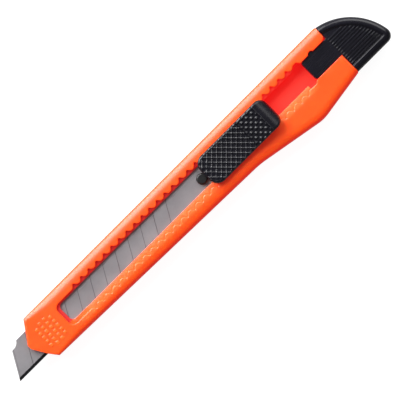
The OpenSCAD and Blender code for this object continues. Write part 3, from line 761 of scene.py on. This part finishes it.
def make_steel():
    """Steel: two greys in a film of oil, strokes along the strip from rolling, and on the
    cutting edge's bevel a dark tone painted in as a dark reflection, with strokes across
    it. A score line is painted dark, as shade in its groove, where the way
    past the first one, x - first - y tan(lean), is a whole number of pitches."""
    finish, shader, add, link = new_finish("blade_steel")
    place = add("TexCoord").outputs["Object"]
    apart = add("SeparateXYZ", {"Vector": place})
    rolled = add("Mapping", {"Vector": place, "Scale": (90, 5000, 900)})
    strokes = add("TexNoise", {"Vector": rolled.outputs["Vector"], "Scale": 1.0, "Detail": 3.0})
    wheel = add("Mapping", {"Vector": place, "Scale": (6000, 500, 500), "Rotation": (0, 0, 0.12)})
    grinding = add("TexNoise", {"Vector": wheel.outputs["Vector"], "Scale": 1.0, "Detail": 2.0})
    film = add("TexNoise", {"Vector": place, "Scale": 160.0, "Detail": 4.0, "Roughness": 0.6})
    edge_line = blade_low.y + ground_width
    # The bevel along the cutting edge: painted dark as a reflection, and given the wheel's strokes in the
    # bump.
    ground_bevel_painted_dark = add("MapRange", {"Value": apart.outputs["Y"], "From Min": edge_line - ground_blur,
                              "From Max": edge_line + ground_blur, "To Min": 1.0, "To Max": 0.0})
    tone = add("ValToRGB", {"Fac": film.outputs["Fac"]})
    tone.color_ramp.elements[0].position, tone.color_ramp.elements[1].position = 0.3, 0.7
    tone.color_ramp.elements[0].color = (0.37, 0.352, 0.372, 1)
    tone.color_ramp.elements[1].color = (0.445, 0.427, 0.447, 1)

    def number(operation, *values):
        """One step of arithmetic on numbers or sockets."""
        made = add("Math", dict(enumerate(values)))
        made.operation = operation
        return made.outputs[0]

    slanted = number("MULTIPLY", number("SUBTRACT", apart.outputs["Y"], float(knife_zero[1])), score_lean)
    past = number("SUBTRACT", number("SUBTRACT", apart.outputs["X"], slanted), first_score)
    near = number("PINGPONG", past, score_pitch / 2)
    groove = add("MapRange", {"Value": near, "From Min": 0.00006, "From Max": 0.00016,
                              "To Min": 0.4, "To Max": 0.0})
    scored = number("MULTIPLY", groove.outputs["Result"], number("LESS_THAN", past, scored_run))
    # Score lines painted dark, as shade in their grooves.
    lined = add("MixRGB", {"Fac": scored, "Color1": tone.outputs["Color"],
                           "Color2": (0.06, 0.06, 0.065, 1)})
    # The bevel painted dark, standing in for the dark reflection it shows.
    dark = add("MixRGB", {"Fac": ground_bevel_painted_dark.outputs["Result"], "Color1": lined.outputs["Color"],
                          "Color2": (0.03, 0.03, 0.032, 1)})
    link(dark.outputs["Color"], shader.inputs["Base Color"])
    rough = add("MapRange", {"Value": strokes.outputs["Fac"], "From Min": 0.3, "From Max": 0.7,
                             "To Min": 0.36, "To Max": 0.48})
    link(rough.outputs["Result"], shader.inputs["Roughness"])
    worked = add("MixRGB", {"Fac": ground_bevel_painted_dark.outputs["Result"], "Color1": strokes.outputs["Fac"],
                            "Color2": grinding.outputs["Fac"]})
    bump = add("Bump", {"Height": worked.outputs["Color"], "Strength": 0.25, "Distance": 0.00001})
    link(bump.outputs["Normal"], shader.inputs["Normal"])
    shader.inputs["Metallic"].default_value = 0.75
    return finish


steel = make_steel()
for name in node:
    if name.startswith("blade_") and name != "blade_carrier":
        paint(name, steel)

# ---------------------------------------------------------------------------------------
# Table, soft studio light and camera. The camera looks straight down on the face through
# a long lens, with the knife lying from corner to corner. Sizes here are in metres.
# ---------------------------------------------------------------------------------------
table_half = 0.6
table = bpy.data.meshes.new("table_top")
corners = [(x * table_half, y * table_half, 0) for x, y in ((-1, -1), (1, -1), (1, 1), (-1, 1))]
table.from_pydata(corners, [], [(0, 1, 2, 3)])
table_top = bpy.data.objects.new("table_top", table)
bpy.context.collection.objects.link(table_top)
white, shader, add, link = new_finish("white_table")
fleck = add("TexNoise", {"Vector": add("TexCoord").outputs["Object"], "Scale": 40.0, "Detail": 2.0})
tone = add("ValToRGB", {"Fac": fleck.outputs["Fac"]})
tone.color_ramp.elements[0].color = (0.20, 0.20, 0.20, 1)
tone.color_ramp.elements[1].color = (0.21, 0.21, 0.21, 1)
link(tone.outputs["Color"], shader.inputs["Base Color"])
shader.inputs["Roughness"].default_value = 0.9
shader.inputs["Specular IOR Level"].default_value = 0.1
shader.inputs["Emission Color"].default_value = (1, 1, 1, 1)
seen = add("LightPath").outputs["Is Camera Ray"]
shine = add("MapRange", {"Value": seen, "To Min": 0.3, "To Max": 0.95})
link(shine.outputs["Result"], shader.inputs["Emission Strength"])
table.materials.append(white)

world = bpy.data.worlds.new("studio")
bpy.context.scene.world = world
world.use_nodes = True
world.node_tree.nodes["Background"].inputs["Color"].default_value = (1, 1, 1, 1)
world.node_tree.nodes["Background"].inputs["Strength"].default_value = 0.12


def soft_box(name, toward, distance, size, power):
    """A square area light, turned to face the knife's middle."""
    light = bpy.data.lights.new(name, "AREA")
    light.shape, light.size, light.energy = "SQUARE", size, power
    lamp = bpy.data.objects.new(name, light)
    bpy.context.collection.objects.link(lamp)
    away = Vector(toward).normalized()
    lamp.location = away * distance
    lamp.rotation_euler = away.to_track_quat("Z", "Y").to_euler()


soft_box("key_light", (-0.15, 1.0, 0.8), 0.6, 0.5, 7.0)
soft_box("back_light", (0.0, 1.0, 0.2), 0.7, 0.4, 2.0)
soft_box("side_light", (1.0, 0.55, 0.75), 0.7, 0.5, 2.6)

middle = knife_zero + np.array([0.0629, -0.00415, 0.007])   # of the view, seen from the nose
lens, frame_width, sensor = 250, 0.1119, 36
back = Vector((0, 0, 1))
up = Vector((1, 1, 0)).normalized()
right = up.cross(back)
camera_data = bpy.data.cameras.new("camera")
camera_data.lens, camera_data.sensor_width = lens, sensor
camera_data.clip_start, camera_data.clip_end = 0.01, 10
camera = bpy.data.objects.new("camera", camera_data)
bpy.context.collection.objects.link(camera)
turn = Matrix((right, up, back)).transposed().to_4x4()
camera.matrix_world = Matrix.Translation(Vector(middle) + back * (frame_width * lens / sensor)) @ turn
bpy.context.scene.camera = camera
bpy.context.scene.view_settings.view_transform = "Standard"
